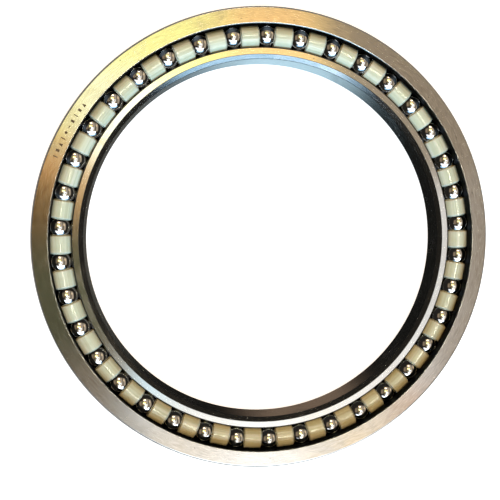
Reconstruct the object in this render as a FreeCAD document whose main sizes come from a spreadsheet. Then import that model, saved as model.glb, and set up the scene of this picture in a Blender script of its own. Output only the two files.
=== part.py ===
import FreeCAD
import Part

import math
import os

import Sketcher

# A thin-section angular contact ball bearing: an outer ring, an inner ring, a full row of balls
# and a loose plastic spacer between each ball and the next.
#
# Frame: millimetres. The bearing's axis is Z, and the origin is on it, in the plane of the ball
# centres, which is also the middle of the overall width. +Z is the open side of the outer ring.

# Driving dimensions: cell alias, value, meaning
DIMENSIONS = [
    ("bore_diameter", 220, "bore of the inner ring, which takes the shaft"),
    ("outside_diameter", 276, "outside of the outer ring, which sits in the housing"),
    ("overall_width", 26, "from the inner ring's rear face to the outer ring's front face"),
    ("ring_width", 17.3, "each ring alone; the two rings are offset along the axis"),
    ("pitch_diameter", 248, "circle through the ball centres"),
    ("ball_diameter", 15.875, "five eighths of an inch"),
    ("ball_count", 38, "balls in the row, and as many spacers"),
    ("first_ball_angle", 5.4, "degrees from +X to the first ball"),
    ("contact_angle", 40, "degrees from the ball-centre plane to the line of contact"),
    ("groove_radius", 8.25, "radius of both raceway grooves in section"),
    ("ball_clearance", 0.1, "gap left between a ball and each groove at its contact"),
    ("shoulder_step", 4, "radial distance from the pitch circle to each high shoulder"),
    ("lip_height", 3.85, "axial distance from the ball-centre plane to each low lip"),
    ("lip_chamfer_width", 0.75, "radial leg of the chamfer on each low lip"),
    ("edge_chamfer", 0.4, "chamfer at the mouth of each high shoulder"),
    ("small_corner", 1, "chamfer on the loaded corner of each ring"),
    ("large_corner_width", 2.4, "radial leg of the lead-in chamfer of each ring"),
    ("large_corner_length", 2, "axial leg of the lead-in chamfer of each ring"),
    ("spacer_diameter", 14, "outside of a spacer"),
    ("spacer_length", 10.4, "length of a spacer over its two rims"),
    ("spacer_seat_radius", 8.2, "radius of the hollow seat at each end of a spacer"),
    ("spacer_hole_diameter", 4, "oil hole along a spacer"),
    ("spacer_chamfer", 0.4, "chamfer on each rim of a spacer"),
]

SHEET_NAME = "dims"
OUTPUT_FOLDER = "parts"
SPACERS_PER_NODE = 2

# Expressions that several sub-parts share
HALF_WIDTH = "dims.overall_width / 2"
NARROW_FACE = "(dims.ring_width - dims.overall_width / 2)"
PITCH_ANGLE = "360 deg / dims.ball_count"
PITCH_RADIUS = "dims.pitch_diameter / 2"
GROOVE_OFFSET = "(dims.groove_radius - dims.ball_diameter / 2 - dims.ball_clearance)"
GROOVE_SHIFT = f"{GROOVE_OFFSET} * cos(dims.contact_angle * 1 deg)"
GROOVE_RISE = f"{GROOVE_OFFSET} * sin(dims.contact_angle * 1 deg)"


def fill_sheet(document):
    """Put each driving dimension in the sheet as a plain number with an alias."""
    sheet = document.addObject("Spreadsheet::Sheet", SHEET_NAME)
    for row, (alias, value, meaning) in enumerate(DIMENSIONS, start=1):
        sheet.set(f"A{row}", alias)
        sheet.set(f"B{row}", str(value))
        sheet.set(f"C{row}", meaning)
        sheet.setAlias(f"B{row}", alias)
    document.recompute()
    return sheet


def origin_feature(body, role):
    """Find a body's own plane or axis by its role, such as XY_Plane."""
    return next(feature for feature in body.Origin.OriginFeatures if feature.Role == role)


def new_sketch(body, name, plane):
    sketch = body.newObject("Sketcher::SketchObject", name)
    sketch.AttachmentSupport = [(origin_feature(body, plane), "")]
    sketch.MapMode = "FlatFace"
    return sketch


def place_point(sketch, edge, end, name, expressions):
    """Tie one end of an edge to the sketch's origin with two bound distances."""
    for kind, letter, expression in zip(("DistanceX", "DistanceY"), "xy", expressions):
        value = float(sketch.evalExpression(expression))
        sketch.addConstraint(Sketcher.Constraint(kind, -1, 1, edge, end, value))
        index = sketch.ConstraintCount - 1
        sketch.renameConstraint(index, f"{name}_{letter}")
        sketch.setExpression(f"Constraints.{name}_{letter}", expression)


def draw_outline(sketch, corners, arcs):
    """Draw a closed outline of straight edges, with an arc after each corner named in arcs.

    corners is {name: (x, y)} in order, each an expression. arcs is
    {name: (centre x, centre y, radius)}, for the edge that leaves that corner.
    """
    names = list(corners)
    points = {
        name: FreeCAD.Vector(*(float(sketch.evalExpression(e)) for e in corners[name]), 0)
        for name in names
    }
    for name, following in zip(names, names[1:] + names[:1]):
        start, end = points[name], points[following]
        if name in arcs:
            centre = FreeCAD.Vector(*(float(sketch.evalExpression(e)) for e in arcs[name][:2]), 0)
            chord_middle = (start + end) / 2 - centre
            radius = (start - centre).Length
            middle = centre + chord_middle.normalize() * radius
            edge = sketch.addGeometry(Part.Arc(start, middle, end), False)
        else:
            edge = sketch.addGeometry(Part.LineSegment(start, end), False)
    count = len(names)
    first_edge = edge - count + 1
    starts = {}
    for number, name in enumerate(names):
        # an arc runs anticlockwise, so it may start at its second corner
        geometry = sketch.Geometry[first_edge + number]
        turned = (geometry.StartPoint - points[name]).Length > (
            geometry.EndPoint - points[name]
        ).Length
        starts[number] = (2, 1) if turned else (1, 2)
    for number in range(count):
        here, there = first_edge + number, first_edge + (number + 1) % count
        leaving, entering = starts[number][1], starts[(number + 1) % count][0]
        sketch.addConstraint(Sketcher.Constraint("Coincident", here, leaving, there, entering))
    for number, name in enumerate(names):
        place_point(sketch, first_edge + number, starts[number][0], name, corners[name])
        if name in arcs:
            radius = float(sketch.evalExpression(arcs[name][2]))
            arc = first_edge + number
            sketch.addConstraint(Sketcher.Constraint("Radius", arc, radius))
            sketch.renameConstraint(sketch.ConstraintCount - 1, f"{name}_radius")
            sketch.setExpression(f"Constraints.{name}_radius", arcs[name][2])


def ring_section(seat_radius, inward):
    """Corners and groove of one ring's section.

    The two sections are each other's half turn about the ball centre, so one outline serves both:
    inward is -1 for the outer ring, whose groove faces the axis, and +1 for the inner ring.
    """
    sign = "-" if inward < 0 else ""

    def corner(distance, height):
        """A corner, as a distance from the seat towards the balls and a height towards the lip."""
        return f"{seat_radius} + {inward} * ({distance})", f"{sign}({height})"

    to_pitch = f"abs({PITCH_RADIUS} - {seat_radius})"
    lip_depth = (
        f"{to_pitch} + {GROOVE_SHIFT}"
        f" - sqrt(dims.groove_radius ^ 2 - (dims.lip_height - {GROOVE_RISE}) ^ 2)"
    )
    shoulder_depth = f"{to_pitch} - dims.shoulder_step"
    shoulder_edge = (
        f"{GROOVE_RISE} - sqrt(dims.groove_radius ^ 2"
        f" - (dims.shoulder_step + {GROOVE_SHIFT}) ^ 2)"
    )
    corners = {
        "seat_lip_end": corner("0", f"{NARROW_FACE} - dims.large_corner_length"),
        "lip_face_outer": corner("dims.large_corner_width", NARROW_FACE),
        "lip_face_inner": corner(f"{lip_depth} - dims.lip_chamfer_width", NARROW_FACE),
        "lip": corner(lip_depth, "dims.lip_height"),
        "shoulder": corner(shoulder_depth, shoulder_edge),
        "shoulder_end": corner(shoulder_depth, f"dims.edge_chamfer - {HALF_WIDTH}"),
        "wide_face_inner": corner(f"{shoulder_depth} - dims.edge_chamfer", f"-{HALF_WIDTH}"),
        "wide_face_outer": corner("dims.small_corner", f"-{HALF_WIDTH}"),
        "seat_wide_end": corner("0", f"dims.small_corner - {HALF_WIDTH}"),
    }
    centre = corner(f"{to_pitch} + {GROOVE_SHIFT}", GROOVE_RISE)
    return corners, {"lip": (*centre, "dims.groove_radius")}


def revolve(body, sketch, axis_name):
    revolution = body.newObject("PartDesign::Revolution", f"{body.Name}_revolution")
    revolution.Profile = sketch
    revolution.ReferenceAxis = (sketch, [axis_name])
    revolution.Angle = 360
    sketch.Visibility = False
    return revolution


def make_ring(document, name, seat_radius, inward):
    """A raceway ring: its section turned about the bearing's axis."""
    body = document.addObject("PartDesign::Body", name)
    body.Label = name
    sketch = new_sketch(body, f"{name}_section", "XZ_Plane")
    draw_outline(sketch, *ring_section(seat_radius, inward))
    revolve(body, sketch, "V_Axis")
    return body


def make_ball(document, number):
    """One ball of the row, with its centre on the pitch circle."""
    name = f"ball_{number:02d}"
    ball = document.addObject("Part::Sphere", name)
    ball.Label = name
    ball.setExpression("Radius", "dims.ball_diameter / 2")
    angle = f"(dims.first_ball_angle * 1 deg + {PITCH_ANGLE} * {number - 1})"
    ball.setExpression("Placement.Base.x", f"{PITCH_RADIUS} * cos({angle})")
    ball.setExpression("Placement.Base.y", f"{PITCH_RADIUS} * sin({angle})")
    return ball


def spacer_section():
    """Half a spacer's section on the plane of the ball centres: x is radial, y along the row.

    Each end is a hollow seat, part of a sphere about the centre of the ball next to it.
    """
    axis = f"{PITCH_RADIUS} * cos({PITCH_ANGLE} / 2)"
    reach = f"{PITCH_RADIUS} * sin({PITCH_ANGLE} / 2)"
    hole = "dims.spacer_hole_diameter / 2"
    outside = "dims.spacer_diameter / 2"
    half_length = "dims.spacer_length / 2"
    seat_bottom = f"({reach} - sqrt(dims.spacer_seat_radius ^ 2 - ({hole}) ^ 2))"
    seat_mouth = f"sqrt(dims.spacer_seat_radius ^ 2 - ({reach} - {half_length}) ^ 2)"
    chamfer = "dims.spacer_chamfer"
    corners = {
        "hole_low": (f"{axis} + {hole}", f"-{seat_bottom}"),
        "hole_high": (f"{axis} + {hole}", seat_bottom),
        "mouth_high": (f"{axis} + {seat_mouth}", half_length),
        "rim_high": (f"{axis} + {outside} - {chamfer}", half_length),
        "side_high": (f"{axis} + {outside}", f"{half_length} - {chamfer}"),
        "side_low": (f"{axis} + {outside}", f"{chamfer} - {half_length}"),
        "rim_low": (f"{axis} + {outside} - {chamfer}", f"-{half_length}"),
        "mouth_low": (f"{axis} + {seat_mouth}", f"-{half_length}"),
    }
    arcs = {
        "hole_high": (axis, reach, "dims.spacer_seat_radius"),
        "mouth_low": (axis, f"-{reach}", "dims.spacer_seat_radius"),
    }
    return corners, arcs, axis


def make_spacers(document, number):
    """Two neighbouring spacers, as two separate solids: one section turned about the spacer's own
    axis, then repeated one ball pitch further along the row."""
    name = f"spacer_pair_{number:02d}"
    body = document.addObject("PartDesign::Body", name)
    body.Label = name
    body.AllowCompound = True
    sketch = new_sketch(body, f"{name}_section", "XY_Plane")
    corners, arcs, axis = spacer_section()
    draw_outline(sketch, corners, arcs)
    add_turning_axis(sketch, axis)
    turned = revolve(body, sketch, "Axis0")
    pattern = body.newObject("PartDesign::PolarPattern", f"{name}_row")
    pattern.Originals = [turned]
    pattern.Axis = (origin_feature(body, "Z_Axis"), [""])
    pattern.Mode = "Spacing"
    pattern.Occurrences = SPACERS_PER_NODE
    pattern.setExpression("Offset", PITCH_ANGLE)
    body.Tip = pattern
    steps = SPACERS_PER_NODE * (number - 1) + 0.5
    body.Placement.Rotation.Axis = FreeCAD.Vector(0, 0, 1)
    turn = f"dims.first_ball_angle * 1 deg + {PITCH_ANGLE} * {steps}"
    body.setExpression("Placement.Rotation.Angle", turn)
    return body


def add_turning_axis(sketch, axis):
    """A construction line along the spacer's own axis, at the given radius."""
    radius = float(sketch.evalExpression(axis))
    length = float(sketch.evalExpression("dims.spacer_length"))
    low, high = FreeCAD.Vector(radius, 0, 0), FreeCAD.Vector(radius, length, 0)
    line = sketch.addGeometry(Part.LineSegment(low, high), True)
    place_point(sketch, line, 1, "axis_low", (axis, "0 * dims.spacer_length"))
    place_point(sketch, line, 2, "axis_high", (axis, "dims.spacer_length"))


def check(document, parts):
    """Stop if any object failed or any sub-part isn't a sound solid of the right count."""
    for item in document.Objects:
        if {"Invalid", "Error"} & set(item.State):
            raise RuntimeError(f"{item.Label} failed: {item.State}")
    for part in parts:
        shape = part.Shape
        expected = SPACERS_PER_NODE if part.Label.startswith("spacer") else 1
        if shape.isNull() or not shape.isValid() or len(shape.Solids) != expected:
            raise RuntimeError(f"{part.Label} isn't {expected} valid solid(s)")


def main():
    document = FreeCAD.newDocument("angular_contact_bearing")
    sheet = fill_sheet(document)
    parts = [
        make_ring(document, "outer_ring", "dims.outside_diameter / 2", -1),
        make_ring(document, "inner_ring", "dims.bore_diameter / 2", 1),
    ]
    parts += [make_ball(document, number + 1) for number in range(int(sheet.ball_count))]
    pairs = int(sheet.ball_count) // SPACERS_PER_NODE
    parts += [make_spacers(document, number + 1) for number in range(pairs)]
    document.recompute()
    check(document, parts)

    os.makedirs(OUTPUT_FOLDER, exist_ok=True)
    for part in parts:
        part.Shape.exportStep(os.path.join(OUTPUT_FOLDER, f"{part.Label}.step"))
        box = part.Shape.BoundBox
        print(
            f"{part.Label}: {len(part.Shape.Solids)} solid(s), {part.Shape.Volume:.1f} mm3,"
            f" z {box.ZMin:.3f} to {box.ZMax:.3f}"
        )
    pitch = math.pi / sheet.ball_count
    print(f"{len(parts)} nodes; ball centres {sheet.pitch_diameter * math.sin(pitch):.3f} mm apart")


main()
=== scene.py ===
# %% [markdown]
# # A large thin ball bearing
# The object is a single-row angular contact bearing: two steel rings, one inside the other, with a row
# of polished balls between them. A short plastic spacer sits between each ball and the next. The open
# side of the outer ring faces up, so the balls and spacers show in the gap.
#
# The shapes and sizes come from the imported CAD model, loaded here as a fixed frame. Its meshes are
# coarse, which shows badly on polished steel, so every piece is made again as a fine mesh and rides on
# the same body.

# %% The frame
import math
import random

import bmesh
import bpy
from mathutils import Matrix, Vector


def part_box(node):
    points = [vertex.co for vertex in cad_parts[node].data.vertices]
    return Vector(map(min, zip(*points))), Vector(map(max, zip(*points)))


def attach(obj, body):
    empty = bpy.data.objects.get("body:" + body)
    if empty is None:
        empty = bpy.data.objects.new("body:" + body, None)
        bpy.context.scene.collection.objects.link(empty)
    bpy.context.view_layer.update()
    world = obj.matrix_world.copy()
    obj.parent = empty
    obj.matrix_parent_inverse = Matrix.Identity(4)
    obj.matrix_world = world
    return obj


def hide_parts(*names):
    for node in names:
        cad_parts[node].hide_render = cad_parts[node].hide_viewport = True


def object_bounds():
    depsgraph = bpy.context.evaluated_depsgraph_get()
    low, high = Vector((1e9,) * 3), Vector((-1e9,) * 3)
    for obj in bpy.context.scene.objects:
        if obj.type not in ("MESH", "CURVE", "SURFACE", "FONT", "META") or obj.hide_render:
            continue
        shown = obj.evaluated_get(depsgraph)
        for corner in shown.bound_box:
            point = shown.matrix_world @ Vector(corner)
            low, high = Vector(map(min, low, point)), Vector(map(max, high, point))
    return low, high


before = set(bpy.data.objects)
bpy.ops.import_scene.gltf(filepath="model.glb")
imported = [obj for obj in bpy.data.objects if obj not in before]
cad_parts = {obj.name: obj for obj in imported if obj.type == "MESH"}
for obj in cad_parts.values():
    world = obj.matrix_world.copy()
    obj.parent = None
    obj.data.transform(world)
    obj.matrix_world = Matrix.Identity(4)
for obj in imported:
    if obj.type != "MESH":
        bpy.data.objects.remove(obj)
cad_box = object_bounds()
MM = 0.001
print("CAD box, mm:", [[round(value / MM, 2) for value in corner] for corner in cad_box])

# %% [markdown]
# ## Sizes
# The outer ring's radius and heights are read from the frame. What a box can't tell, such as the
# groove's radius, is written here once, in millimetres, as a maker would write it on the drawing.

# %% Sizes
outer_low, outer_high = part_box("outer_ring")
SEAT_RADIUS = round(outer_high.x / MM, 3)
FRONT_HEIGHT = round(outer_high.z / MM, 3)
REAR_HEIGHT = round(outer_low.z / MM, 3)
PITCH_RADIUS = 124.0
GROOVE_RADIUS = 8.25
BALL_RADIUS = 15.875 / 2
BALL_CLEARANCE = 0.1
CONTACT_ANGLE = math.radians(40.0)
BALL_COUNT = 38
BALL_PITCH = math.tau / BALL_COUNT
FIRST_BALL = math.radians(5.4)
print("outer ring radius", SEAT_RADIUS, "front", FRONT_HEIGHT, "rear", REAR_HEIGHT)

# %% [markdown]
# ## A section with soft edges
# A ring is turned on a lathe and ground, so its whole shape is one outline spun about the axis. No real
# edge is perfectly sharp, and it is the tiny rounding that catches a line of light. A Bevel modifier
# could round the edges, but on a turned part it is simpler to round the outline before it is spun.
# Each stretch of the outline is a line or an arc, cut back a little at both ends, and each gap is closed
# by a short curve that leaves along one stretch and arrives along the next.

# %% Lines and arcs
def line(start, end, finish):
    """A straight stretch of outline, as a function of the distance along it."""
    start, end = Vector(start), Vector(end)
    direction = (end - start).normalized()

    def at(distance):
        return start + direction * distance, direction

    return {"length": (end - start).length, "at": at, "finish": finish, "steps": 1}


def arc(centre, start, end, finish, steps):
    """A round stretch about a centre, by the shorter way from start to end."""
    centre, start, end = Vector(centre), Vector(start), Vector(end)
    radius = (start - centre).length
    from_angle = math.atan2(start.y - centre.y, start.x - centre.x)
    turn = (end - centre).angle_signed(start - centre)

    def at(distance):
        angle = from_angle + math.copysign(distance / radius, turn)
        across = Vector((math.cos(angle), math.sin(angle)))
        along = Vector((-across.y, across.x)) * math.copysign(1, turn)
        return centre + across * radius, along

    return {"length": radius * abs(turn), "at": at, "finish": finish, "steps": steps}


# %% The rounded outline
ROUNDING_STEPS = 4


def rounded_outline(stretches, cuts):
    """Points, outward normals and finishes round a closed outline that runs clockwise.

    cuts[i] is how far the corner after stretch i is cut back along both its sides.
    """
    outline = []
    count = len(stretches)
    for i, stretch in enumerate(stretches):
        first, last = cuts[i - 1], stretch["length"] - cuts[i]
        for step in range(stretch["steps"] + 1):
            point, along = stretch["at"](first + (last - first) * step / stretch["steps"])
            outline.append((point, along, stretch["finish"]))
        corner, along_here = stretch["at"](stretch["length"])
        follower = stretches[(i + 1) % count]
        next_point, next_along = follower["at"](cuts[i])
        for step in range(1, ROUNDING_STEPS):
            t = step / ROUNDING_STEPS
            curve = point * (1 - t) ** 2 + corner * 2 * t * (1 - t) + next_point * t ** 2
            heading = ((corner - point) * (1 - t) + (next_point - corner) * t).normalized()
            outline.append((curve, heading, "edge"))
        outline[-ROUNDING_STEPS] = (point, along, "edge")
    return [(point, Vector((-along.y, along.x)), finish) for point, along, finish in outline]


# %% [markdown]
# ## The rings
# The two rings are each other's half turn about the ball's centre, so one outline serves both. It is
# listed clockwise in radius and height, with the name of the finish that each surface gets: ground end
# faces and seat, turned chamfers and shoulder, lapped groove. The groove's centre is set back from the
# ball's along the line of contact, and the lip and the shoulder begin where they meet the groove. The
# mesh holds a normal for every point, worked out from the outline, so the shading is exact and the flat
# faces stay flat right up to their edges.

# %% The outer ring's outline
SHOULDER_STEP = 4.0
LIP_HEIGHT = -3.85
LIP_CHAMFER = 0.75
EDGE_CHAMFER = 0.4
SMALL_CORNER = 1.0
LEAD_IN = Vector((2.4, 2.0))
GROOVE_OFFSET = GROOVE_RADIUS - BALL_RADIUS - BALL_CLEARANCE
GROOVE_CENTRE = Vector((PITCH_RADIUS - GROOVE_OFFSET * math.cos(CONTACT_ANGLE),
                        -GROOVE_OFFSET * math.sin(CONTACT_ANGLE)))


def other_leg(leg):
    """The second leg of the right triangle from the groove's centre to a point on the groove."""
    return math.sqrt(GROOVE_RADIUS ** 2 - leg ** 2)


SHOULDER_RADIUS = PITCH_RADIUS + SHOULDER_STEP
SHOULDER_EDGE = Vector((SHOULDER_RADIUS, GROOVE_CENTRE.y + other_leg(SHOULDER_RADIUS - GROOVE_CENTRE.x)))
LIP = Vector((GROOVE_CENTRE.x + other_leg(LIP_HEIGHT - GROOVE_CENTRE.y), LIP_HEIGHT))
LIP_FACE_EDGE = Vector((LIP.x + LIP_CHAMFER, REAR_HEIGHT))

# each stretch's start, its finish, and how far the corner at its start is cut back
ring_stretches = [
    ((SHOULDER_RADIUS + EDGE_CHAMFER, FRONT_HEIGHT), "face", 0.08),
    ((SEAT_RADIUS - SMALL_CORNER, FRONT_HEIGHT), "chamfer", 0.3),
    ((SEAT_RADIUS, FRONT_HEIGHT - SMALL_CORNER), "seat", 0.3),
    ((SEAT_RADIUS, REAR_HEIGHT + LEAD_IN.y), "chamfer", 0.2),
    ((SEAT_RADIUS - LEAD_IN.x, REAR_HEIGHT), "face", 0.15),
    (LIP_FACE_EDGE, "edge", 0.12),
    (LIP, "groove", 0.06),
    (SHOULDER_EDGE, "shoulder", 0.12),
    ((SHOULDER_RADIUS, FRONT_HEIGHT - EDGE_CHAMFER), "edge", 0.06),
]
GROOVE_STEPS = 28


def ring_outline(half_turned):
    """The outer ring's outline, or the inner ring's when half turned about the ball's centre."""
    stretches, cuts = [], []
    for i, (start, finish, _) in enumerate(ring_stretches):
        end, _, cut_at_end = ring_stretches[(i + 1) % len(ring_stretches)]
        if finish == "groove":
            stretches.append(arc(GROOVE_CENTRE, start, end, finish, GROOVE_STEPS))
        else:
            stretches.append(line(start, end, finish))
        cuts.append(cut_at_end)
    outline = rounded_outline(stretches, cuts)
    if half_turned:
        outline = [
            (Vector((2 * PITCH_RADIUS - point.x, -point.y)), -normal, finish)
            for point, normal, finish in outline
        ]
    return outline


outer_outline = ring_outline(False)
inner_outline = ring_outline(True)
print("points round a ring's section:", len(outer_outline), "lip at radius", round(LIP.x, 3))

# %% Spinning an outline into a mesh
RING_SEGMENTS = 720


def spin(name, outline, segments, finishes):
    """A mesh of revolution about Z, in metres, with exact normals and each face's material index set by its
    finish.
    """
    points, normals, faces, slots = [], [], [], []
    count = len(outline)
    for segment in range(segments):
        angle = math.tau * segment / segments
        c, s = math.cos(angle), math.sin(angle)
        for point, normal, _ in outline:
            points.append((point.x * c * MM, point.x * s * MM, point.y * MM))
            normals.append((normal.x * c, normal.x * s, normal.y))
    for segment in range(segments):
        here, there = segment * count, (segment + 1) % segments * count
        for i in range(count):
            j = (i + 1) % count
            faces.append((here + i, here + j, there + j, there + i))
            slots.append(finishes.index(outline[i][2]))
    mesh = bpy.data.meshes.new(name)
    mesh.from_pydata(points, [], faces)
    mesh.polygons.foreach_set("material_index", slots)
    mesh.polygons.foreach_set("use_smooth", [True] * len(faces))
    mesh.normals_split_custom_set_from_vertices(normals)
    return mesh


def place(mesh, name):
    """A new piece in the scene, made from a mesh."""
    piece = bpy.data.objects.new(name, mesh)
    bpy.context.scene.collection.objects.link(piece)
    return piece


RING_FINISHES = ["face", "edge", "seat", "groove", "shoulder", "chamfer"]


def make_ring(node, outline):
    """One ring's fine mesh, in place of its CAD node and on the same body."""
    mesh = spin(f"{node}_fine", outline, RING_SEGMENTS, RING_FINISHES)
    ring = place(mesh, f"{node}_fine")
    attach(ring, node)
    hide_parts(node)
    print(ring.name, len(mesh.polygons), "faces")
    return ring


outer_ring = make_ring("outer_ring", outer_outline)
inner_ring = make_ring("inner_ring", inner_outline)

# %% [markdown]
# ## The balls
# A bearing ball is lapped until it is round to a fraction of a micron. A UV sphere crowds its faces at
# two poles, and the reflections show it, so the ball is a cube with each side divided into squares and
# every point pushed out to the ball's radius. A tangent evens out the squares on the way. All the balls
# share that one mesh, and the material shifts the pattern of fine scratches from one to the next.

# %% One ball's mesh
BALL_DIVISIONS = 24


def ball_mesh():
    """A ball of nearly even squares, in metres, with exact normals."""
    form = bmesh.new()
    bmesh.ops.create_cube(form, size=2.0)
    bmesh.ops.subdivide_edges(form, edges=form.edges[:], cuts=BALL_DIVISIONS - 1, use_grid_fill=True)
    for corner in form.verts:
        evened = Vector([math.tan(value * math.pi / 4) for value in corner.co])
        corner.co = evened.normalized() * BALL_RADIUS * MM
    mesh = bpy.data.meshes.new("ball")
    form.to_mesh(mesh)
    form.free()
    mesh.polygons.foreach_set("use_smooth", [True] * len(mesh.polygons))
    mesh.normals_split_custom_set_from_vertices([v.co.normalized() for v in mesh.vertices])
    return mesh


# %% The row of balls
ball = ball_mesh()
for number in range(1, BALL_COUNT + 1):
    angle = FIRST_BALL + (number - 1) * BALL_PITCH
    piece = place(ball, f"ball_{number:02d}_fine")
    piece.location = (PITCH_RADIUS * MM * math.cos(angle), PITCH_RADIUS * MM * math.sin(angle), 0)
    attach(piece, f"ball_{number:02d}")
    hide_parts(f"ball_{number:02d}")
print(BALL_COUNT, "balls of", len(ball.polygons), "faces")

# %% [markdown]
# ## The spacers
# A spacer is a short length of plastic rod, hollowed at both ends to fit the balls, with an oil hole
# through it. It is spun like the rings, about its own axis, which lies along the row. Its hollow ends
# are parts of spheres about the centres of the balls next to it. Two spacers make one piece, as in the
# frame, and each has its own shade, kept as a number on its points. Drawing the rod leaves fine lines
# along it, so each narrow strip down a spacer's side has a line height of its own as well.

# %% The spacer's outline
SPACER_AXIS_RADIUS = PITCH_RADIUS * math.cos(BALL_PITCH / 2)
BALL_REACH = PITCH_RADIUS * math.sin(BALL_PITCH / 2)
SPACER_RADIUS = 7.0
SPACER_HALF_LENGTH = 5.2
SPACER_CHAMFER = 0.4
SEAT_SPHERE = 8.2
HOLE_RADIUS = 2.0
MOUTH_RADIUS = math.sqrt(SEAT_SPHERE ** 2 - (BALL_REACH - SPACER_HALF_LENGTH) ** 2)
SEAT_BOTTOM = BALL_REACH - math.sqrt(SEAT_SPHERE ** 2 - HOLE_RADIUS ** 2)
SEAT_STEPS = 10

hole_end = Vector((HOLE_RADIUS, SEAT_BOTTOM))
mouth = Vector((MOUTH_RADIUS, SPACER_HALF_LENGTH))
rim_end = Vector((SPACER_RADIUS - SPACER_CHAMFER, SPACER_HALF_LENGTH))
side_end = Vector((SPACER_RADIUS, SPACER_HALF_LENGTH - SPACER_CHAMFER))


def other_end(point):
    """The matching point at the spacer's other end."""
    return Vector((point.x, -point.y))


spacer_stretches = [
    arc((0, BALL_REACH), hole_end, mouth, "seat", SEAT_STEPS),
    line(mouth, rim_end, "rim"),
    line(rim_end, side_end, "rim"),
    line(side_end, other_end(side_end), "side"),
    line(other_end(side_end), other_end(rim_end), "rim"),
    line(other_end(rim_end), other_end(mouth), "rim"),
    arc((0, -BALL_REACH), other_end(mouth), other_end(hole_end), "seat", SEAT_STEPS),
    line(other_end(hole_end), hole_end, "hole"),
]
MOUTH_CUT, RIM_CUT, CHAMFER_CUT, HOLE_CUT = 0.03, 0.04, 0.2, 0.1
spacer_cuts = [MOUTH_CUT, RIM_CUT, CHAMFER_CUT, CHAMFER_CUT, RIM_CUT, MOUTH_CUT, HOLE_CUT, HOLE_CUT]
spacer_outline = rounded_outline(spacer_stretches, spacer_cuts)
SPACER_SEGMENTS = 72
print("spacer: mouth", round(MOUTH_RADIUS, 3), "seat bottom", round(SEAT_BOTTOM, 3), "mm")

# %% The pairs of spacers
SPACER_FINISHES = ["seat", "edge", "rim", "side", "hole"]
one_spacer = spin("spacer", spacer_outline, SPACER_SEGMENTS, SPACER_FINISHES)
spacer_normals = []
for segment in range(SPACER_SEGMENTS):
    angle = math.tau * segment / SPACER_SEGMENTS
    for _, normal, _ in spacer_outline:
        spacer_normals.append(Vector((normal.x * math.cos(angle), normal.x * math.sin(angle), normal.y)))
shade_of = random.Random(19)
line_of = random.Random(7)


def spacer_pair(number):
    """Two spacers in one mesh, laid along the row, each with its own shade and drawn lines."""
    points, normals, faces, shades, lines = [], [], [], [], []
    for step in (2 * number - 1.5, 2 * number - 0.5):
        angle = FIRST_BALL + step * BALL_PITCH
        lie = Matrix.Rotation(angle, 4, "Z") @ Matrix.Translation((SPACER_AXIS_RADIUS * MM, 0, 0))
        lie = lie @ Matrix.Rotation(-math.pi / 2, 4, "X")
        shade = shade_of.random()
        strip_lines = [line_of.random() for _ in range(SPACER_SEGMENTS)]
        base = len(points)
        for vertex in one_spacer.vertices:
            points.append(lie @ vertex.co)
            shades.append(shade)
            lines.append(strip_lines[vertex.index // len(spacer_outline)])
        turn = lie.to_3x3()
        normals += [turn @ normal for normal in spacer_normals]
        faces += [tuple(base + index for index in polygon.vertices) for polygon in one_spacer.polygons]
    mesh = bpy.data.meshes.new(f"spacer_pair_{number:02d}_fine")
    mesh.from_pydata(points, [], faces)
    mesh.polygons.foreach_set("use_smooth", [True] * len(faces))
    mesh.normals_split_custom_set_from_vertices(normals)
    mesh.attributes.new("shade", "FLOAT", "POINT").data.foreach_set("value", shades)
    mesh.attributes.new("drawn line", "FLOAT", "POINT").data.foreach_set("value", lines)
    return mesh


spacer_pairs = []
for number in range(1, BALL_COUNT // 2 + 1):
    pair = place(spacer_pair(number), f"spacer_pair_{number:02d}_fine")
    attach(pair, "ball_train")
    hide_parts(f"spacer_pair_{number:02d}")
    spacer_pairs.append(pair)
print(len(spacer_pairs), "pairs of spacers")

# %% [markdown]
# ## Etched marks
# Makers etch a designation on the outer ring's face. Here a row of plain shapes stands in for it: bars,
# dots, blocks, wedges and a dash, which say nothing. Each is a very thin slab let into the face, so it
# keeps a clean outline from close by, where a painted mask would blur.

# %% The row of marks
MARK_RADIUS = 132.6
MARK_HEIGHT = 2.6
MARK_STEP = 3.7
FIRST_MARK = math.radians(144.0)
MARK_RISE = 0.012
MARK_DEPTH = 0.03
DOT_RADIUS = 0.8
DOT_CORNERS = 12
WEDGE_WIDTH = 1.8
BOX_SIZES = {"bar": (0.55, MARK_HEIGHT), "dash": (1.6, 0.5), "block": (1.4, 0.8 * MARK_HEIGHT)}
MARK_ROW = ["wedge", "block", "bar", "block", "dash", "dot", "bar", "wedge", "block", "bar"]


def slab(form, outline, turn):
    """A thin slab with this outline, in mm, set into the face and turned round to its place."""
    top, low = [
        [form.verts.new(turn @ Vector(((MARK_RADIUS + y) * MM, x * MM, height * MM))) for x, y in outline]
        for height in (FRONT_HEIGHT + MARK_RISE, FRONT_HEIGHT - MARK_DEPTH)
    ]
    form.faces.new(top)
    form.faces.new(low[::-1])
    for i in range(len(outline)):
        j = (i + 1) % len(outline)
        form.faces.new((top[j], top[i], low[i], low[j]))


def mark_outline(kind):
    """The outline of one plain shape, in mm."""
    if kind == "dot":
        angles = [math.tau * i / DOT_CORNERS for i in range(DOT_CORNERS)]
        return [(DOT_RADIUS * math.cos(angle), DOT_RADIUS * math.sin(angle)) for angle in angles]
    if kind == "wedge":
        foot = -MARK_HEIGHT / 2
        return [(-WEDGE_WIDTH / 2, foot), (WEDGE_WIDTH / 2, foot), (0, MARK_HEIGHT / 2)]
    x, y = BOX_SIZES[kind][0] / 2, BOX_SIZES[kind][1] / 2
    return [(-x, -y), (x, -y), (x, y), (-x, y)]


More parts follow.
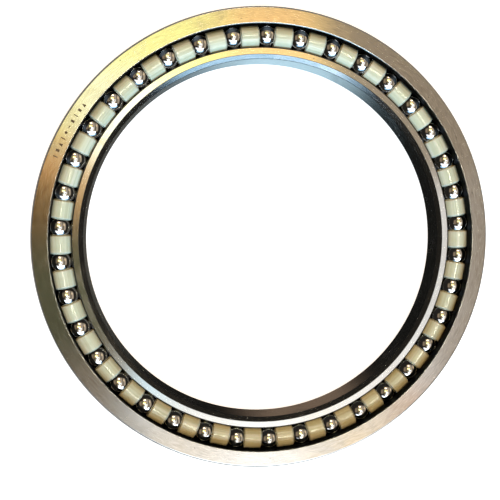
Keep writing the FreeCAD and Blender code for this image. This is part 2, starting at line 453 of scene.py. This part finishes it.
form = bmesh.new()
for i, kind in enumerate(MARK_ROW):
    slab(form, mark_outline(kind), Matrix.Rotation(FIRST_MARK + i * MARK_STEP / MARK_RADIUS, 4, "Z"))
bmesh.ops.recalc_face_normals(form, faces=form.faces[:])
mark_mesh = bpy.data.meshes.new("etched_marks")
form.to_mesh(mark_mesh)
form.free()
etched_marks = place(mark_mesh, "etched_marks")
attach(etched_marks, "outer_ring")
print(len(MARK_ROW), "marks of", len(mark_mesh.polygons), "faces")

# %% [markdown]
# ## Wiring nodes
# Materials here are built from a few node groups. These small helpers add a node, set its inputs and
# join it to others, so that each material reads as a short recipe.

# %% Node helpers
def add(tree, kind, inputs=None, **settings):
    """A new node with its settings and inputs; an input may be a value or another node's output."""
    node = tree.nodes.new(kind)
    for name, value in settings.items():
        setattr(node, name, value)
    for name, value in (inputs or {}).items():
        if isinstance(value, bpy.types.NodeSocket):
            tree.links.new(value, node.inputs[name])
        else:
            node.inputs[name].default_value = value
    return node


def maths(tree, operation, a, b=0.0):
    """One step of arithmetic on values or outputs."""
    return add(tree, "ShaderNodeMath", {0: a, 1: b}, operation=operation).outputs[0]


def ramp(tree, value, low, high, to_low=0.0, to_high=1.0):
    """value, eased smoothly from to_low at low to to_high at high."""
    inputs = {"Value": value, "From Min": low, "From Max": high, "To Min": to_low, "To Max": to_high}
    return add(tree, "ShaderNodeMapRange", inputs, interpolation_type="SMOOTHSTEP").outputs["Result"]


def blend(tree, factor, a, b):
    """Colour a where factor is 0 and colour b where it is 1."""
    node = add(tree, "ShaderNodeMix", data_type="RGBA")
    for socket, value in ((node.inputs[0], factor), (node.inputs[6], a), (node.inputs[7], b)):
        if isinstance(value, bpy.types.NodeSocket):
            tree.links.new(value, socket)
        else:
            socket.default_value = value
    return node.outputs[2]


def new_group(name, inputs, outputs):
    """An empty shader node group, with its named inputs and outputs."""
    group = bpy.data.node_groups.new(name, "ShaderNodeTree")
    for label, kind, value in inputs:
        socket = group.interface.new_socket(label, in_out="INPUT", socket_type=kind)
        socket.default_value = value
    for label, kind in outputs:
        group.interface.new_socket(label, in_out="OUTPUT", socket_type=kind)
    return group, group.nodes.new("NodeGroupInput").outputs, group.nodes.new("NodeGroupOutput").inputs


def use(tree, group, **inputs):
    """A group placed in a tree. Its inputs are named with underscores for spaces."""
    node = tree.nodes.new("ShaderNodeGroup")
    node.node_tree = group
    for name, value in inputs.items():
        socket = node.inputs[name.replace("_", " ")]
        if isinstance(value, bpy.types.NodeSocket):
            tree.links.new(value, socket)
        else:
            socket.default_value = value
    return node.outputs


# %% [markdown]
# ## Grinding marks
# The faces of a bearing ring are finished on a rotary grinder, which leaves fine lines that follow the
# ring and fainter ones that cross it at a slant. The lines are made from the point's angle round the
# axis and its distance from it. The angle goes in as a direction, so the pattern has no seam. Each pass
# of slanting strokes is a wave, with a whole number of strokes round the ring and a slant in turns per mm.

# %% Group: grinding marks
FLOAT = "NodeSocketFloat"
LANE_RADIUS = 130.0
SLANT_PASSES = ((911, 2.3), (1327, -1.9))


def polar(tree):
    """Distance from the axis in mm, angle round it, height in mm, and the direction as x and y."""
    spot = add(tree, "ShaderNodeTexCoord").outputs["Object"]
    parts = add(tree, "ShaderNodeSeparateXYZ", {0: spot}).outputs
    squared = maths(tree, "ADD", maths(tree, "MULTIPLY", parts[0], parts[0]),
                    maths(tree, "MULTIPLY", parts[1], parts[1]))
    distance = maths(tree, "SQRT", squared)
    angle = maths(tree, "ARCTAN2", parts[1], parts[0])
    across = maths(tree, "DIVIDE", parts[0], distance)
    up = maths(tree, "DIVIDE", parts[1], distance)
    return maths(tree, "DIVIDE", distance, MM), angle, maths(tree, "DIVIDE", parts[2], MM), across, up


grinding, given, result = new_group(
    "Grinding marks",
    [("Line length", FLOAT, 6.0), ("Lines per mm", FLOAT, 6.0), ("Slant strokes", FLOAT, 0.5)],
    [("Height", FLOAT), ("Shade", FLOAT)],
)
distance, angle, height, across, up = polar(grinding)
along = maths(grinding, "DIVIDE", LANE_RADIUS, given["Line length"])
side = maths(grinding, "MULTIPLY", maths(grinding, "ADD", distance, height), given["Lines per mm"])
lane = add(grinding, "ShaderNodeCombineXYZ", {
    0: maths(grinding, "MULTIPLY", across, along), 1: maths(grinding, "MULTIPLY", up, along), 2: side})
lines = add(grinding, "ShaderNodeTexNoise", {"Vector": lane.outputs[0], "Scale": 1.0, "Detail": 3.0,
            "Roughness": 0.6}).outputs[0]
broad = add(grinding, "ShaderNodeTexNoise", {
    "Vector": add(grinding, "ShaderNodeTexCoord").outputs["Object"], "Scale": 28.0, "Detail": 2.0}).outputs[0]
strokes = 0.0
for turns, per_mm in SLANT_PASSES:
    phase = maths(grinding, "ADD", maths(grinding, "MULTIPLY", angle, float(turns)),
                  maths(grinding, "MULTIPLY", distance, per_mm * math.tau))
    wave = maths(grinding, "SINE", maths(grinding, "ADD", phase, maths(grinding, "MULTIPLY", lines, 6.0)))
    strokes = maths(grinding, "ADD", strokes, maths(grinding, "MULTIPLY", wave, 0.25))
patch = ramp(grinding, broad, 0.42, 0.7)
strokes = maths(grinding, "MULTIPLY", maths(grinding, "MULTIPLY", strokes, patch), given["Slant strokes"])
total = maths(grinding, "ADD", lines, strokes)
grinding.links.new(total, result["Height"])
grinding.links.new(ramp(grinding, total, 0.2, 0.8), result["Shade"])
print(grinding.name, "uses", len(grinding.nodes), "nodes")

# %% [markdown]
# ## Specks and smudges
# A bearing is packed in thin oil, and handling leaves dust, tiny stains and finger smudges on it. Small
# round specks come from a Voronoi texture, where only the middles of some cells are kept, and the
# smudges from soft noise.

# %% Group: specks and smudges
specks, given, result = new_group(
    "Specks and smudges",
    [("Specks per metre", FLOAT, 260.0), ("Speck size", FLOAT, 0.12), ("Share kept", FLOAT, 0.3)],
    [("Speck", FLOAT), ("Smudge", FLOAT)],
)
spot = add(specks, "ShaderNodeTexCoord").outputs["Object"]
cells = add(specks, "ShaderNodeTexVoronoi", {"Vector": spot, "Scale": given["Specks per metre"]}).outputs
chosen = maths(specks, "LESS_THAN", add(specks, "ShaderNodeSeparateColor", {0: cells["Color"]}).outputs[0],
               given["Share kept"])
size_here = maths(specks, "MULTIPLY", given["Speck size"],
                  add(specks, "ShaderNodeSeparateColor", {0: cells["Color"]}).outputs[1])
dot = maths(specks, "LESS_THAN", cells["Distance"], size_here)
specks.links.new(maths(specks, "MULTIPLY", chosen, dot), result["Speck"])
cloud = add(specks, "ShaderNodeTexNoise", {"Vector": spot, "Scale": 45.0, "Detail": 4.0,
            "Roughness": 0.55, "Distortion": 0.6}).outputs[0]
specks.links.new(ramp(specks, cloud, 0.48, 0.72), result["Smudge"])
print(specks.name, "uses", len(specks.nodes), "nodes")

# %% [markdown]
# ## Ring steels
# One steel takes many finishes: ground faces and seats, turned chamfers, a lapped groove. A single recipe
# makes them all, and each differs in how bright and how rough it is and in its marks. A material that
# finds worn edges for itself would have to measure the surface, but here every edge is already its own
# strip of faces. The outer ring's edges are rubbed bright. The groove and the inner ring's edges are
# painted near black as painted shade, and the turned shoulder is dark steel painted darker still as
# painted shade. A darker specular tint takes away their bright grazing reflection, which is painted shade
# too.

# %% The steel recipe
DUST = (0.16, 0.14, 0.11, 1)


def principled(name):
    """A material with a Principled shader, ready to be wired."""
    material = bpy.data.materials.new(name)
    material.use_nodes = True
    tree = material.node_tree
    shader = next(node for node in tree.nodes if node.type == "BSDF_PRINCIPLED")
    return material, tree, shader


def steel(name, bright, dull, rough, rough_more, line_length, lines_per_mm, slant, depth, speck_share,
          grazing=1.0):
    """Bearing steel, from how bright and how rough it is and from the marks on it."""
    material, tree, shader = principled(name)
    marks = use(tree, grinding, Line_length=line_length, Lines_per_mm=lines_per_mm, Slant_strokes=slant)
    dirt = use(tree, specks, Share_kept=speck_share)
    shader.inputs["Metallic"].default_value = 1.0
    tint = blend(tree, marks["Shade"], dull, bright)
    tint = blend(tree, maths(tree, "MULTIPLY", dirt["Smudge"], 0.25), tint, dull)
    tint = blend(tree, maths(tree, "MULTIPLY", dirt["Speck"], 0.7), tint, DUST)
    tree.links.new(tint, shader.inputs["Base Color"])
    grain = maths(tree, "MULTIPLY", marks["Shade"], rough_more)
    film = maths(tree, "MULTIPLY", dirt["Smudge"], rough_more)
    roughness = maths(tree, "ADD", maths(tree, "ADD", grain, film), rough)
    roughness = maths(tree, "ADD", roughness, maths(tree, "MULTIPLY", dirt["Speck"], 0.1))
    tree.links.new(roughness, shader.inputs["Roughness"])
    bump = add(tree, "ShaderNodeBump", {"Height": marks["Height"], "Strength": 1.0, "Distance": depth})
    tree.links.new(bump.outputs[0], shader.inputs["Normal"])
    shader.inputs["Specular Tint"].default_value = (grazing, grazing, grazing, 1)
    return material


# %% Steel finishes
outer_face = steel(
    "outer ring face", (0.74, 0.71, 0.67, 1), (0.44, 0.42, 0.40, 1), 0.09, 0.07,
    line_length=5.0, lines_per_mm=5.0, slant=1.0, depth=0.8e-6, speck_share=0.5)
inner_face = steel(
    "inner ring face", (0.82, 0.80, 0.77, 1), (0.62, 0.61, 0.59, 1), 0.09, 0.07,
    line_length=7.0, lines_per_mm=6.0, slant=0.4, depth=0.8e-6, speck_share=0.3)
ground_seat = steel(
    "ground seat", (0.66, 0.65, 0.63, 1), (0.55, 0.54, 0.52, 1), 0.16, 0.08,
    line_length=9.0, lines_per_mm=4.0, slant=0.2, depth=0.8e-6, speck_share=0.2)
# Painted shade: the lapped groove's steel is painted near black for the shade it lies in, and its grazing
# tint is low.
groove_painted_dark = steel(
    "lapped groove", (0.06, 0.06, 0.06, 1), (0.03, 0.03, 0.03, 1), 0.16, 0.08,
    line_length=20.0, lines_per_mm=3.0, slant=0.0, depth=0.3e-6, speck_share=0.5, grazing=0.3)
# Partly painted shade: the turned shoulder is dark steel, painted darker still for the shade in the gap
# between the rings, with a low grazing tint.
shoulder_painted_dark = steel(
    "turned shoulder", (0.045, 0.048, 0.05, 1), (0.02, 0.022, 0.024, 1), 0.26, 0.12,
    line_length=14.0, lines_per_mm=5.0, slant=0.0, depth=1.0e-6, speck_share=0.3, grazing=0.3)
turned_chamfer = steel(
    "turned chamfer", (0.72, 0.72, 0.71, 1), (0.60, 0.60, 0.59, 1), 0.11, 0.06,
    line_length=8.0, lines_per_mm=3.0, slant=0.0, depth=0.4e-6, speck_share=0.15)
rubbed_edge = steel(
    "rubbed edge", (0.74, 0.73, 0.71, 1), (0.64, 0.63, 0.61, 1), 0.10, 0.05,
    line_length=4.0, lines_per_mm=2.0, slant=0.0, depth=0.3e-6, speck_share=0.1)
# Painted shade: the inner ring's edges are painted near black as a dark line of shade, with a low grazing
# tint.
painted_dark_edge = steel(
    "edge painted dark", (0.10, 0.10, 0.10, 1), (0.05, 0.05, 0.05, 1), 0.22, 0.10,
    line_length=4.0, lines_per_mm=2.0, slant=0.0, depth=0.3e-6, speck_share=0.1, grazing=0.3)
outer_finishes = {"face": outer_face, "chamfer": turned_chamfer, "seat": ground_seat,
                  "groove": groove_painted_dark, "shoulder": shoulder_painted_dark, "edge": rubbed_edge}
inner_finishes = outer_finishes | {"face": inner_face, "edge": painted_dark_edge}
for ring, finish_of in ((outer_ring, outer_finishes), (inner_ring, inner_finishes)):
    for finish in RING_FINISHES:
        ring.data.materials.append(finish_of[finish])
    print(ring.name, "finishes:", [material.name for material in ring.data.materials])

# %% [markdown]
# ## Ball steel
# Lapped chrome steel is close to a mirror. A perfect mirror looks like a drawing, so there are hairline
# scratches that run every way and a trace of oil film that changes the roughness. The scratches are
# noise stretched very long, laid three ways. Each ball shifts the pattern by its own random number.

# %% Mirror finish
SCRATCH_TILTS = (0.3, 1.4, 2.5)
SCRATCH_STRETCH = (60.0, 2600.0, 2600.0)
mirror, tree, shader = principled("lapped ball")
spot = add(tree, "ShaderNodeTexCoord").outputs["Object"]
own = add(tree, "ShaderNodeObjectInfo").outputs["Random"]
spot = add(tree, "ShaderNodeVectorMath", {0: spot, 1: own}, operation="ADD").outputs[0]
scratch = 0.0
for tilt in SCRATCH_TILTS:
    turned = add(tree, "ShaderNodeMapping", {"Vector": spot, "Rotation": (tilt, tilt * 1.7, 0.0),
                 "Scale": SCRATCH_STRETCH})
    noise = add(tree, "ShaderNodeTexNoise", {"Vector": turned.outputs[0], "Scale": 1.0, "Detail": 1.0})
    scratch = maths(tree, "MAXIMUM", ramp(tree, noise.outputs[0], 0.66, 0.74), scratch)
film = add(tree, "ShaderNodeTexNoise", {"Vector": spot, "Scale": 260.0, "Detail": 3.0}).outputs[0]
film = ramp(tree, film, 0.45, 0.75)
tree.links.new(blend(tree, film, (0.82, 0.82, 0.82, 1), (0.74, 0.73, 0.71, 1)), shader.inputs["Base Color"])
shader.inputs["Metallic"].default_value = 1.0
roughness = maths(tree, "ADD", maths(tree, "MULTIPLY", film, 0.04), maths(tree, "MULTIPLY", scratch, 0.12))
tree.links.new(maths(tree, "ADD", roughness, 0.06), shader.inputs["Roughness"])
bump = add(tree, "ShaderNodeBump", {"Height": scratch, "Strength": 1.0, "Distance": 0.1e-6})
tree.links.new(bump.outputs[0], shader.inputs["Normal"])
ball.materials.append(mirror)
print(mirror.name, "uses", len(tree.nodes), "nodes")

# %% [markdown]
# ## Spacer plastic
# The spacers are natural nylon: a pale, slightly green ivory that lets a little light into it and has a
# soft gloss with oil on it. Real ones differ from one to the next, so the shade on each spacer's points
# mixes two near colours. The drawn lines catch the light: the raised ones get a painted highlight, and the
# low ones are darker.

# %% Nylon
GREENER, PALER = (0.685, 0.785, 0.655, 1), (0.755, 0.84, 0.715, 1)
YELLOWED, LOW_STRIP_DARK, LINE_HIGHLIGHT_PAINT = (0.58, 0.60, 0.42, 1), (0.50, 0.52, 0.38, 1), (0.90, 0.95, 0.86, 1)
LINE_DEPTH = 50e-6
nylon, tree, shader = principled("natural nylon")
shade = add(tree, "ShaderNodeAttribute", attribute_name="shade").outputs["Fac"]
spot = add(tree, "ShaderNodeTexCoord").outputs["Object"]
mottle = add(tree, "ShaderNodeTexNoise", {"Vector": spot, "Scale": 220.0, "Detail": 4.0}).outputs[0]
tint = blend(tree, shade, GREENER, PALER)
tint = blend(tree, ramp(tree, mottle, 0.35, 0.8, 0.0, 0.35), tint, YELLOWED)
drawn = add(tree, "ShaderNodeAttribute", attribute_name="drawn line").outputs["Fac"]
# The low strips are made darker.
tint = blend(tree, ramp(tree, drawn, 0.5, 0.0, 0.0, 0.35), tint, LOW_STRIP_DARK)
# Painted highlight: the raised strips are painted lighter.
tint = blend(tree, ramp(tree, drawn, 0.6, 1.0, 0.0, 0.6), tint, LINE_HIGHLIGHT_PAINT)
tree.links.new(tint, shader.inputs["Base Color"])
fine = add(tree, "ShaderNodeTexNoise", {"Vector": spot, "Scale": 900.0, "Detail": 2.0}).outputs[0]
tree.links.new(ramp(tree, fine, 0.3, 0.7, 0.09, 0.17), shader.inputs["Roughness"])
shader.inputs["IOR"].default_value = 1.53
shader.inputs["Subsurface Weight"].default_value = 0.6
shader.inputs["Subsurface Radius"].default_value = (1.0, 1.0, 0.9)
shader.inputs["Subsurface Scale"].default_value = 0.003
bump = add(tree, "ShaderNodeBump", {"Height": fine, "Strength": 1.0, "Distance": 1.5e-6})
bump = add(tree, "ShaderNodeBump", {"Height": drawn, "Strength": 1.0, "Distance": LINE_DEPTH,
                                    "Normal": bump.outputs[0]})
tree.links.new(bump.outputs[0], shader.inputs["Normal"])
for pair in spacer_pairs:
    pair.data.materials.append(nylon)
print(nylon.name, "uses", len(tree.nodes), "nodes")

# %% [markdown]
# ## Etched oxide
# Etching leaves a dark, dull film of oxide that is a little uneven. It is part metal and part film, so
# the shader's Metallic stands halfway, and fine noise mixes two browns.

# %% Oxide
oxide, tree, shader = principled("etched oxide")
spot = add(tree, "ShaderNodeTexCoord").outputs["Object"]
uneven = add(tree, "ShaderNodeTexNoise", {"Vector": spot, "Scale": 1500.0, "Detail": 3.0}).outputs[0]
tree.links.new(blend(tree, uneven, (0.08, 0.06, 0.04, 1), (0.24, 0.18, 0.12, 1)), shader.inputs["Base Color"])
tree.links.new(ramp(tree, uneven, 0.3, 0.7, 0.45, 0.7), shader.inputs["Roughness"])
shader.inputs["Metallic"].default_value = 0.5
mark_mesh.materials.append(oxide)
print(oxide.name, "uses", len(tree.nodes), "nodes")

# %% [markdown]
# ## Studio
# The bearing lies on a pale floor, seen from nearly above. Polished steel shows what stands around it
# more than its own colour, while plastic shows the light that falls on it. So the light comes in two
# parts: two soft lamps, cool and warm, that the steel doesn't mirror, and a room that it does.

# %% Camera
camera_data = bpy.data.cameras.new("camera")
camera = bpy.data.objects.new("camera", camera_data)
bpy.context.scene.collection.objects.link(camera)
camera.location = (-0.0618, 0.0199, 0.3699)
camera.rotation_euler = [math.radians(value) for value in (-3.921, -7.901, 0.271)]
camera_data.sensor_width = 36.0
camera_data.lens = 43.72
camera_data.clip_start = 0.01
bpy.context.scene.camera = camera
print("camera", round(camera.location.z, 3), "m above the ball centres")

# %% Lamps
def panel(name, location, target, size, power, colour):
    """A rectangular lamp aimed at a point. It lights the plastic and is left out of reflections."""
    data = bpy.data.lights.new(name, "AREA")
    data.shape = "RECTANGLE"
    data.size, data.size_y = size
    data.energy = power
    data.color = colour
    lamp = bpy.data.objects.new(name, data)
    bpy.context.scene.collection.objects.link(lamp)
    lamp.location = location
    lamp.rotation_euler = (Vector(target) - Vector(location)).to_track_quat("-Z", "Y").to_euler()
    lamp.visible_camera = False
    lamp.visible_glossy = False
    return lamp


panel("window lamp", (0.25, -1.0, 0.68), (0, 0, 0), (1.2, 0.6), 19.5, (0.49, 0.80, 1.0))
panel("warm lamp", (-0.05, 0.22, 0.85), (0, 0, 0), (0.5, 0.5), 4.6, (1.0, 0.57, 0.23))

# %% [markdown]
# ## The room
# The room is a shader on the world, seen only in reflections. The camera sees plain white, and rough
# surfaces get one dim warm colour. A direction that points up is turned into a spot on an imagined
# ceiling, and soft-edged patches are laid on that ceiling one over the other, like cards hung over the
# bench. White ones stand to one side, gold ones to the other, and duller ones at the ends, so a ring's
# face goes through all their tones. What points down is dark, as a bench would be, with a brown, a grey
# and a blue patch for the bore to mirror.

# %% Patches of light
def soft_patch(tree, x, y, centre, half_size, softness):
    """1 inside a rectangle of the ceiling, falling softly to 0 outside."""
    mask = 1.0
    for value, middle, half in ((x, centre[0], half_size[0]), (y, centre[1], half_size[1])):
        off = maths(tree, "ABSOLUTE", maths(tree, "SUBTRACT", value, middle))
        mask = maths(tree, "MULTIPLY", mask, ramp(tree, off, half - softness, half + softness, 1.0, 0.0))
    return mask


# name, centre, half size, softness, colour
# centre and size are slopes: the tangent of the lean from straight up
ceiling = [
    ("far wall", (-0.70, 0.12), (0.24, 0.42), 0.14, (0.30, 0.22, 0.145, 1)),
    ("far pane", (-0.52, -0.90), (0.22, 0.24), 0.08, (1.5, 1.55, 1.6, 1)),
    ("tan ceiling", (0.85, 0.10), (1.03, 1.0), 0.16, (0.45, 0.37, 0.275, 1)),
    ("dark beam", (0.82, 0.16), (0.11, 0.9), 0.07, (0.05, 0.045, 0.035, 1)),
    ("gold lamp", (1.15, 0.45), (0.22, 0.20), 0.12, (1.0, 0.75, 0.45, 1)),
    ("dim middle", (0.17, -0.04), (0.22, 0.17), 0.05, (0.16, 0.13, 0.09, 1)),
    ("dim end", (-0.36, 0.25), (0.18, 0.40), 0.10, (0.17, 0.14, 0.09, 1)),
    ("olive end", (-0.19, -0.13), (0.11, 0.11), 0.04, (0.115, 0.12, 0.065, 1)),
    ("brown end", (-0.24, 0.02), (0.10, 0.07), 0.03, (0.20, 0.115, 0.04, 1)),
    ("amber", (-0.10, 0.03), (0.06, 0.04), 0.03, (0.85, 0.52, 0.22, 1)),
    ("cream lamp", (0.0, 0.80), (0.20, 0.20), 0.10, (1.5, 1.1, 0.65, 1)),
    ("upper bulb", (0.08, 0.76), (0.14, 0.05), 0.02, (9.0, 8.0, 6.0, 1)),
    ("white strip", (0.42, -0.15), (0.075, 0.19), 0.03, (1.25, 1.27, 1.28, 1)),
    ("tan corner", (0.525, -0.255), (0.06, 0.065), 0.02, (0.52, 0.43, 0.33, 1)),
    ("white bar", (0.18, -0.33), (0.23, 0.08), 0.03, (1.35, 1.37, 1.37, 1)),
    ("blue bar", (-0.01, -0.28), (0.045, 0.04), 0.015, (1.05, 1.45, 1.65, 1)),
    ("peach", (0.43, -0.35), (0.055, 0.04), 0.02, (1.10, 0.80, 0.58, 1)),
    ("high window", (0.17, -0.66), (0.19, 0.27), 0.03, (2.0, 2.0, 1.95, 1)),
    ("cream bar", (0.325, -0.42), (0.08, 0.05), 0.03, (1.60, 1.32, 0.90, 1)),
    ("cream edge", (0.02, -0.41), (0.07, 0.04), 0.03, (1.40, 1.25, 1.03, 1)),
    ("window", (0.30, -1.30), (0.65, 0.50), 0.12, (5.0, 5.6, 6.2, 1)),
    ("low sky", (0.40, -2.60), (1.30, 0.85), 0.10, (0.55, 0.92, 1.25, 1)),
    ("gold", (0.02, 0.22), (0.23, 0.135), 0.03, (1.80, 1.75, 0.62, 1)),
    ("pale gold", (-0.055, 0.14), (0.075, 0.07), 0.02, (2.1, 2.15, 1.75, 1)),
    ("ember", (-0.20, 0.083), (0.07, 0.036), 0.012, (1.02, 0.52, 0.18, 1)),
    ("orange", (0.17, 0.26), (0.08, 0.09), 0.03, (1.75, 1.08, 0.45, 1)),
    ("bulb", (0.165, -0.05), (0.055, 0.05), 0.015, (20.0, 19.2, 15.0, 1)),
    ("second bulb", (0.10, 0.10), (0.03, 0.03), 0.01, (9.0, 7.0, 3.5, 1)),
]
bench = [
    ("brown", (0.05, 0.40), (0.17, 0.09), 0.06, (0.34, 0.24, 0.17, 1)),
    ("grey", (0.15, -0.05), (0.07, 0.05), 0.03, (0.14, 0.13, 0.11, 1)),
    ("blue", (0.12, -0.28), (0.14, 0.13), 0.07, (0.85, 1.25, 1.50, 1)),
]
print(len(ceiling), "patches above,", len(bench), "below")

# %% World
HORIZON, OVERHEAD = (0.04, 0.038, 0.035, 1), (0.020, 0.018, 0.015, 1)
UNDERFOOT, BENCH_EDGE = (0.010, 0.010, 0.009, 1), (0.35, 0.34, 0.33, 1)
DIM_WARM, BACKDROP = (0.17, 0.14, 0.09, 1), (0.98, 0.98, 0.98, 1)
LEAST_LEAN = 0.05
world = bpy.data.worlds.new("studio")
bpy.context.scene.world = world
world.use_nodes = True
tree = world.node_tree
tree.nodes.clear()
direction = add(tree, "ShaderNodeTexCoord").outputs["Generated"]
x, y, z = add(tree, "ShaderNodeSeparateXYZ", {0: direction}).outputs
lean = maths(tree, "MAXIMUM", maths(tree, "ABSOLUTE", z), LEAST_LEAN)
x, y = maths(tree, "DIVIDE", x, lean), maths(tree, "DIVIDE", y, lean)


def laid(patches, colour):
    """The patches laid one over the other on a colour."""
    for _, centre, half_size, softness, light in patches:
        colour = blend(tree, soft_patch(tree, x, y, centre, half_size, softness), colour, light)
    return colour


above = blend(tree, ramp(tree, z, 0.08, 0.16), HORIZON, OVERHEAD)
below = blend(tree, ramp(tree, z, -0.7, -0.4), UNDERFOOT, BENCH_EDGE)
room = blend(tree, maths(tree, "GREATER_THAN", z, 0.0), laid(bench, below), laid(ceiling, above))
path = add(tree, "ShaderNodeLightPath").outputs
sky = blend(tree, path["Is Glossy Ray"], DIM_WARM, room)
sky = blend(tree, path["Is Camera Ray"], sky, BACKDROP)
background = add(tree, "ShaderNodeBackground", {"Color": sky, "Strength": 1.0})
add(tree, "ShaderNodeOutputWorld", {"Surface": background.outputs[0]})
world.cycles.sampling_method = "NONE"
print(world.name, "uses", len(tree.nodes), "nodes")

# %% [markdown]
# ## The floor
# The floor is a pale sheet under the bearing. It glows a little of itself, so that it comes out an even
# near white and still takes a faint shadow. It is left out of reflections, because the room has its own
# bench below, and it throws no light back up. The Standard view keeps that white from being dulled.

# %% Floor
FLOOR_REACH = 4.0
FLOOR_GLOW = 0.85
floor_material, tree, shader = principled("pale floor")
spot = add(tree, "ShaderNodeTexCoord").outputs["Object"]
cloud = add(tree, "ShaderNodeTexNoise", {"Vector": spot, "Scale": 3.0}).outputs[0]
tree.links.new(blend(tree, cloud, (0.80, 0.80, 0.80, 1), (0.83, 0.83, 0.82, 1)), shader.inputs["Base Color"])
shader.inputs["Roughness"].default_value = 0.9
shader.inputs["Specular IOR Level"].default_value = 0.0
shader.inputs["Emission Color"].default_value = (1, 1, 1, 1)
shader.inputs["Emission Strength"].default_value = FLOOR_GLOW
floor_mesh = bpy.data.meshes.new("floor")
corners = [(x * FLOOR_REACH, y * FLOOR_REACH, 0) for x, y in ((-1, -1), (1, -1), (1, 1), (-1, 1))]
floor_mesh.from_pydata(corners, [], [(0, 1, 2, 3)])
floor_mesh.materials.append(floor_material)
floor = place(floor_mesh, "floor")
floor.location.z = cad_box[0][2]
floor.visible_glossy = False
floor.visible_diffuse = False
bpy.context.scene.view_settings.view_transform = "Standard"
print("floor at", round(floor.location.z / MM, 2), "mm")
